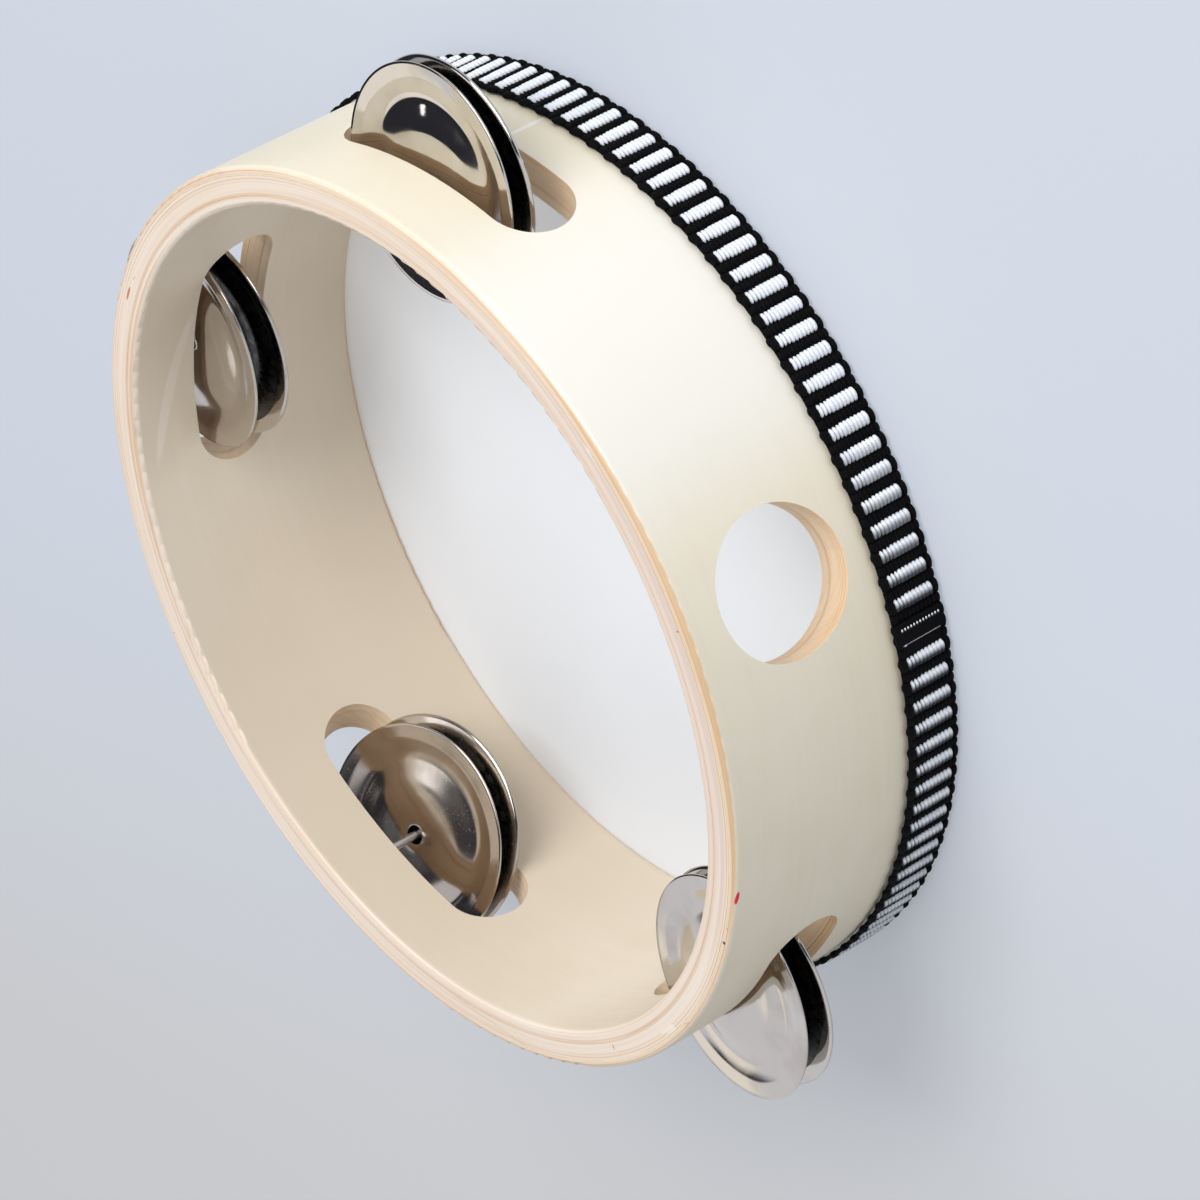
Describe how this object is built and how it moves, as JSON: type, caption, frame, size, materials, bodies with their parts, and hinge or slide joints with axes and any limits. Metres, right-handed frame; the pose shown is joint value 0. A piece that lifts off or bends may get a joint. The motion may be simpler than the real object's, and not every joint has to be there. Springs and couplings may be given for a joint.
{
  "type": "wooden tambourine",
  "caption": "Small wooden tambourine: laminated round hoop with a glued white head, woven ribbon round the head edge, thumb hole, and slots with paired stamped jingles on pins",
  "frame": {"origin": "centre of the head's outer face, on the hoop's axis, where the part rests on its head", "axes": "+Z along the hoop's axis, from the head to the open rim; +X through the middle of the thumb hole; +Y completes a right-handed frame"},
  "size_m": [0.1526, 0.1681, 0.0434],
  "materials": {
    "outer_veneer": "pale veneer, thin satin lacquer",
    "core_wood": "sanded ply edge, thin satin lacquer",
    "inner_veneer": "pale veneer, bare, fine straight grain",
    "drumhead": "translucent white film, matte",
    "ribbon": "ribbed black weave with white bars",
    "pin_steel": "drawn wire",
    "jingle_plate": "bright nickel plate on stamped steel"
  },
  "bodies": {
    "hoop": {"outer_ply": "outer_veneer", "core_ply": "core_wood", "inner_ply": "inner_veneer", "drumhead": "drumhead", "head_skirt": "drumhead", "ribbon": "ribbon", "pin_1": "pin_steel", "pin_2": "pin_steel", "pin_3": "pin_steel", "pin_4": "pin_steel"},
    "jingle_1_upper_disc": {"jingle_1_upper": "jingle_plate"},
    "jingle_1_lower_disc": {"jingle_1_lower": "jingle_plate"},
    "jingle_2_upper_disc": {"jingle_2_upper": "jingle_plate"},
    "jingle_2_lower_disc": {"jingle_2_lower": "jingle_plate"},
    "jingle_3_upper_disc": {"jingle_3_upper": "jingle_plate"},
    "jingle_3_lower_disc": {"jingle_3_lower": "jingle_plate"},
    "jingle_4_upper_disc": {"jingle_4_upper": "jingle_plate"},
    "jingle_4_lower_disc": {"jingle_4_lower": "jingle_plate"}
  },
  "joints": [
    {"name": "pair_1_slide", "type": "slide", "parent": "hoop", "child": "jingle_1_upper_disc", "axis": [0, 0, 1], "range_m": [-0.0042, 0.00025]},
    {"name": "pair_1_clap", "type": "slide", "parent": "jingle_1_upper_disc", "child": "jingle_1_lower_disc", "axis": [0, 0, 1], "range_m": [-0.0021, 0.00008]},
    {"name": "pair_2_slide", "type": "slide", "parent": "hoop", "child": "jingle_2_upper_disc", "axis": [0, 0, 1], "range_m": [-0.0039, 0.0003]},
    {"name": "pair_2_clap", "type": "slide", "parent": "jingle_2_upper_disc", "child": "jingle_2_lower_disc", "axis": [0, 0, 1], "range_m": [-0.002, 0.00075]},
    {"name": "pair_3_slide", "type": "slide", "parent": "hoop", "child": "jingle_3_lower_disc", "axis": [0, 0, 1], "range_m": [-0.00015, 0.0026]},
    {"name": "pair_3_clap", "type": "slide", "parent": "jingle_3_lower_disc", "child": "jingle_3_upper_disc", "axis": [0, 0, 1], "range_m": [-0.00005, 0.0016]},
    {"name": "pair_4_slide", "type": "slide", "parent": "hoop", "child": "jingle_4_upper_disc", "axis": [0, 0, 1], "range_m": [-0.0043, 0.0009]},
    {"name": "pair_4_clap", "type": "slide", "parent": "jingle_4_upper_disc", "child": "jingle_4_lower_disc", "axis": [0, 0, 1], "range_m": [-0.0021, 0.00008]}
  ]
}
